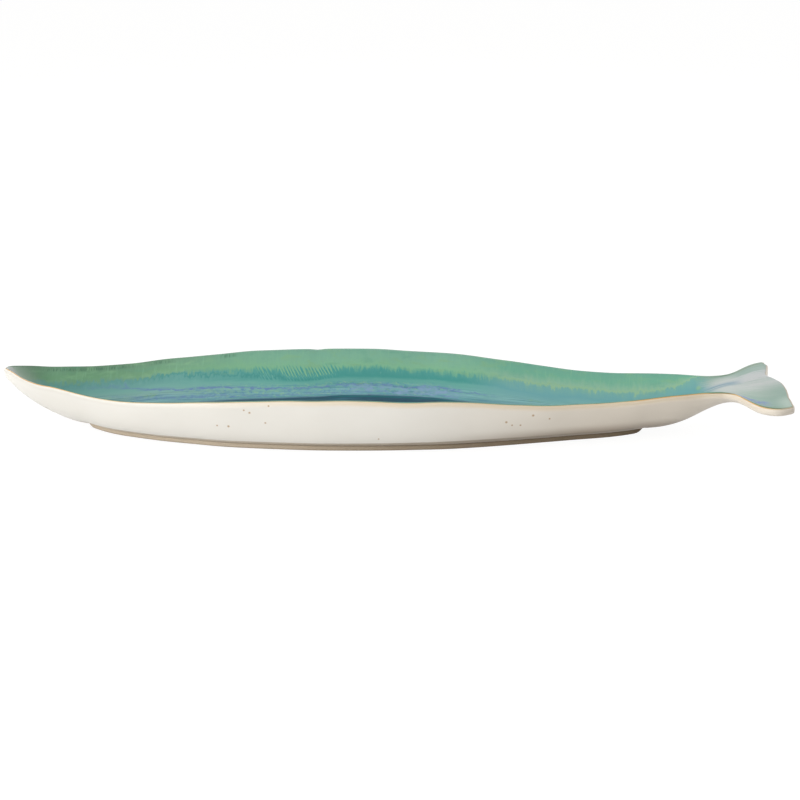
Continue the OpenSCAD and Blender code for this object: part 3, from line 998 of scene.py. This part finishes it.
def side_specks(m, place):
    """1 on the specks of the near side, and 0 elsewhere."""
    x, y, z = m.parts(place)
    flat = m.vector(x, 0.0, z)
    share = 0.0
    for speck_x, speck_z, size in hull_specks:
        away = m.distance(flat, (speck_x * MM, 0, speck_z * MM))
        speck = m.step(away, speck_reach * size * MM, size * MM / 2)
        share = m.math("MAXIMUM", share, speck)
    return m.times(share, m.step(y, 0.0, -1 * MM))


def small_specks(m, place):
    """1 on the tiny specks that lie here and there, and 0 elsewhere."""
    away = m.node("TexVoronoi", {"Vector": place, "Scale": speck_density}).outputs["Distance"]
    return m.times(m.step(away, 0.024, 0.012), m.step(m.noise("speck_gaps", place), 0.5, 0.6))


def foot_look(m, place):
    """Colours of the bare foot, darker towards the tail from painted shade, and at its lowest edge
    from painted shade and grime.
    """
    x, y, z = m.parts(place)
    grain = m.noise("foot_grain", place)
    pale = m.mix(grain, colour("cdc0ad"), colour("b4a691"))
    # The darker tones, laid on towards the tail, are painted shade
    dark = m.mix(grain, colour("a2937e"), colour("8c7d69"))
    m.colours = m.mix(m.step(x, *foot_shade_ends), pale, dark)
    # Painted shade where the foot meets the floor, together with grime, darkens its lowest edge
    m.lay("7d6d5a", m.step(z, *grime_and_shade_heights), 0.5)


def white_look(m, place):
    """Colours of the warm white glaze, with its tiny specks."""
    m.colours = m.mix(m.noise("white_clouds", place), colour("ebe9e3"), colour("e4e1d9"))
    m.lay(speck_colour, small_specks(m, place), 0.8)


def base_glaze(name):
    """The white glaze inside the foot ring, with faint duller patches."""
    m = material(name)
    place = m.place()
    white_look(m, place)
    m.lay("d8d1c4", m.step(m.noise("worn_patches", place), 0.45, 0.7), 0.5)
    return m.finish(0.42, Specular_IOR_Level=0.3)


def thin_look(m, x):
    """Adds the darker line of thin glaze at the lip, and painted shade that dims the brightly lit
    lip of the head.
    """
    fall = m.parts(m.stored("flow", "Vector"))[1]
    thin = m.times(m.step(fall, *thin_falls), m.step(fall, *thin_end))
    m.lay("dccdb4", thin, m.step(x, *thin_start_x), m.step(x, *thin_end_x), 0.9)
    # Painted shade that dims the brightly lit lip of the head
    m.lay("e1ded6", m.step(fall, *head_lip_shade_falls), m.step(x, *head_lip_shade_ends), 0.9)


def wiped_look(m, x, z, place):
    """Adds the strip beside the foot where the glaze is wiped off."""
    top = m.add(m.times(m.step(x, *wiped_growth_x), wiped_growth), wiped_h)
    wiped = m.step(m.math("SUBTRACT", z, top), *wiped_edge)
    hull = m.colours
    foot_look(m, place)
    m.colours = m.mix(m.times(wiped, m.step(x, *wiped_end_x), 0.9), hull, m.colours)


def hull_glaze(name):
    """The white glaze of the outside, thin at the lip and wiped off beside the foot, with painted
    shade low towards the tail and on the lip of the head.
    """
    m = material(name)
    place = m.place()
    x, y, z = m.parts(place)
    white_look(m, place)
    m.lay("e7dfd2", m.step(x, *warm_ends))
    # Painted shade: the lower hull grows dark brown beside the foot towards the tail
    m.lay("9c8a74", m.step(z, *painted_shade_heights), m.step(x, *painted_shade_ends), 0.95)
    thin_look(m, x)
    wiped_look(m, x, z, place)
    m.lay(speck_colour, side_specks(m, place), 0.75)
    return m.finish(0.42, Specular_IOR_Level=0.3)


def bare_clay():
    """Toasted clay of the rim: pale, with orange stretches at the head and beside the tail."""
    m = material("toasted_clay_look")
    place = m.place()
    x = m.parts(place)[0]
    m.colours = m.mix(m.noise("clay_grain", place), colour("e6d6b8"), colour("d9c39c"))
    toasted = m.add(m.step(x, *toasted_head), m.band(x, *toasted_tail))
    m.lay("d8a660", m.add(m.times(toasted, 0.8), m.sway("clay_patches", place, 0.6)))
    m.lay("7d7446", m.band(x, *olive_ends), 0.8)
    m.lay("c9bb9f", m.step(x, *pale_back))
    return m.finish(0.55, Specular_IOR_Level=0.3)


def foot_clay():
    """Bare grey-brown clay of the foot."""
    m = material("bare_foot_look")
    foot_look(m, m.place())
    return m.finish(0.85, Specular_IOR_Level=0.2)


def clay_piece():
    faces = cells_to_faces(np.ones((row_count - 1, loop_count), bool), node_ids)
    normals = outward(clay).reshape(-1, 3)
    piece = add_mesh("clay_shape", clay.reshape(-1, 3), faces, normals, {}, bare_clay())
    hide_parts("clay_body")


glaze_slots = {"outer_glaze": "white_glaze", "rim_glaze": "green_glaze",
    "wall_glaze": "blue_glaze", "pool_glaze": "dark_glaze", "tail_glaze": "pale_glaze"}


def glaze_cells():
    """Which cells each coat of glaze covers, in the order of their slots."""
    row = np.arange(row_count - 1)[:, None]
    cell = np.minimum(column, np.roll(column, -1))[None]
    foot = (row > foot_row) & (row < foot_end_row - 1)
    bowl = (cell >= bare_last) & (row >= head_in_row) & (row < back_in_row)
    outside = (cell < bare_first) | (row >= back_out_row) | (row < head_out_row)
    outside &= ~((cell < base_steps) & foot)
    pool = bowl & (cell >= floor_first) & foot
    tail = bowl & (row >= tail_glaze_row)
    green = bowl & ~tail & ((cell < green_last) | (row < green_head_row))
    wall = bowl & ~tail & ~green & ~pool
    return dict(zip(glaze_slots, (outside, green, wall, pool, tail)))


def glaze_pieces():
    merged = merged_falls()
    flow = np.stack([skin[..., 0], merged, skin[..., 1]], -1)
    values = {"flow": flow, "zone": fall_zone(merged), "across": across}
    for node, cells in glaze_cells().items():
        slot = glaze_slots[node]
        glaze = hull_glaze if node == "outer_glaze" else reactive_glaze
        look = glaze(slot + "_look")
        piece = shell(node + "_coat", cells, node_ids, skin, clay, skin_out, values, look)
        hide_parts(node)


# Foot ring: how its walls lean in and its edges round off, as inset and height
foot_profile = [[0, 1], [0.1 * MM, 0.5], [0.2 * MM, 0.17], [0.45 * MM, 0.05], [1 * MM, 0]]
foot_end_round = 3 * MM
foot_head_rise = 4 * MM
foot_tail_rise = 5 * MM
foot_tail_lift = 2.5 * MM
ring_side_points = 120
ring_inner_gap = 8.5 * MM
inside_ends = (foot_head_x + ring_inner_gap, foot_tail_x - ring_inner_gap)


def ring_side(start, end, half, count):
    """Places between two ends, closer together at both, and half the width there."""
    turn = np.linspace(0, math.pi, count + 1)
    x = (start + end) / 2 - (end - start) / 2 * np.cos(turn)
    return x, half(x) * cap(np.minimum(x - start, end - x), foot_end_round)


def ring_outline(start, end, half):
    """Closed loop round both sides between two places."""
    x, y = ring_side(start, end, half, ring_side_points)
    near = np.stack([x, -y], -1)
    return np.vstack([near, (near * (1, -1))[::-1]])


def inner_half(x):
    return np.maximum(foot_half(x) - band_w, keel_half)


def foot_z(outline, share):
    """Heights on the foot at a share of its height, where its ends rise off the table."""
    x = outline[:, :1]
    to_tail = foot_tail_x - foot_tail_lift - x
    size = cap(x - foot_head_x, foot_head_rise) * cap(to_tail, foot_tail_rise)
    return foot_h - (1 - share) * foot_h * size


def foot_piece():
    outer = ring_outline(foot_head_x, foot_tail_x, foot_half)
    inner = ring_outline(*inside_ends, inner_half)
    into = (inner - outer) / np.linalg.norm(inner - outer, axis=1)[:, None]
    rows = [np.hstack([outer + into * a, foot_z(outer, b)]) for a, b in foot_profile]
    rows += [np.hstack([inner - into * a, foot_z(outer, b)]) for a, b in foot_profile[::-1]]
    grid = np.stack(rows, 1)
    count, around = grid.shape[:2]
    ids = np.arange(count * around).reshape(count, around)
    ids = np.vstack([ids, ids[:1]])
    faces = cells_to_faces(np.ones((count, around), bool), ids)
    wrapped = np.concatenate([grid[-1:], grid, grid[:1]])
    along = wrapped[2:] - wrapped[:-2]
    normals = to_unit(np.cross(along, np.roll(grid, -1, 1) - np.roll(grid, 1, 1)))
    piece = add_mesh("foot_ring_shape", grid.reshape(-1, 3), faces, normals.reshape(-1, 3), {},
        foot_clay())
    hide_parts("foot_ring")


base_rows = 90
base_columns = 16


def base_piece():
    """White glaze under the base, inside the foot ring."""
    x, half = ring_side(*inside_ends, inner_half, base_rows)
    y = half[:, None] * np.linspace(1, -1, base_columns + 1)[None]
    x = np.repeat(x[:, None], base_columns + 1, 1)
    top = np.stack([x, y, np.full_like(x, foot_h)], -1)
    low = top - (0, 0, glaze_t)
    ids = np.arange(x.size).reshape(x.shape)
    cells = np.zeros(x.shape, bool)
    cells[:-1, :-1] = True
    down = np.broadcast_to((0.0, 0.0, -1.0), top.shape)
    look = base_glaze("base_white_glaze_look")
    piece = shell("base_glaze_coat", cells, ids, low, top, down, {}, look)
    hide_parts("base_glaze")


clay_piece()
glaze_pieces()
foot_piece()
base_piece()


# Camera of the photograph: angles in degrees, distance and target
camera_elevation = 15
camera_turn = 1.898
camera_distance = 1.4
camera_target = Vector((0.00455, 0, 0.01956))
camera_lens = 98.13
camera_reach = 20

# Lamps: name, place, size and power
lamps = [["key", (-0.95, -1.22, 0.42), 0.9, 17.5], ["top", (-0.2, -0.1, 1.7), 1.4, 9],
    ["back_head", (-1.25, 1.0, 0.4), 0.9, 5], ["back_tail", (1.25, 1.0, 0.4), 0.9, 5]]

# Floor and sky: sizes, looks and the share of white that the floor shows to the camera
floor_r = 6
floor_gap = 0.02 * MM
floor_grey = (0.72, 0.72, 0.72, 1)
floor_roughness = 0.9
floor_glow = 1.16
floor_white_share = 0.8
white = (1, 1, 1, 1)
sky_colour = colour("fffbf5")
sky_glow = 0.38


def add_camera():
    e, a = math.radians(camera_elevation), math.radians(camera_turn)
    back = Vector((math.sin(a) * math.cos(e), -math.cos(a) * math.cos(e), math.sin(e)))
    camera = add_object("camera", bpy.data.cameras.new("camera"))
    camera.data.lens = camera_lens
    camera.data.clip_end = camera_reach
    camera.location = camera_target + back * camera_distance
    camera.rotation_euler = (-back).to_track_quat("-Z", "Y").to_euler()
    bpy.context.scene.camera = camera


def add_lamp(name, place, size, power):
    lamp = add_object(name, bpy.data.lights.new(name, "AREA"))
    lamp.data.size = size
    lamp.data.energy = power
    lamp.location = place
    lamp.rotation_euler = (camera_target - Vector(place)).to_track_quat("-Z", "Y").to_euler()


def add_floor():
    mesh = bpy.data.meshes.new("floor")
    r = floor_r
    mesh.from_pydata([(-r, -r, 0), (r, -r, 0), (r, r, 0), (-r, r, 0)], [], [(0, 1, 2, 3)])
    floor = add_object("floor", mesh)
    floor.location.z = -floor_gap
    m = material("floor_look")
    m.colours = floor_grey
    mesh.materials.append(m.finish(floor_roughness))
    surface = m.tree.nodes["Principled BSDF"].outputs[0]
    glow = m.node("Emission", {"Color": white, "Strength": floor_glow}).outputs[0]
    m.show_white("Material Output", surface, glow, floor_white_share)


def add_world():
    world = bpy.data.worlds.new("studio")
    bpy.context.scene.world = world
    m = Nodes(world)
    sky = m.tree.nodes["Background"]
    sky.inputs["Color"].default_value = sky_colour
    sky.inputs["Strength"].default_value = sky_glow
    plain = m.node("Background", {"Color": white}).outputs[0]
    m.show_white("World Output", sky.outputs[0], plain, 1.0)


add_camera()
add_floor()
add_world()
for lamp in lamps:
    add_lamp(*lamp)
bpy.context.scene.view_settings.view_transform = "Standard"
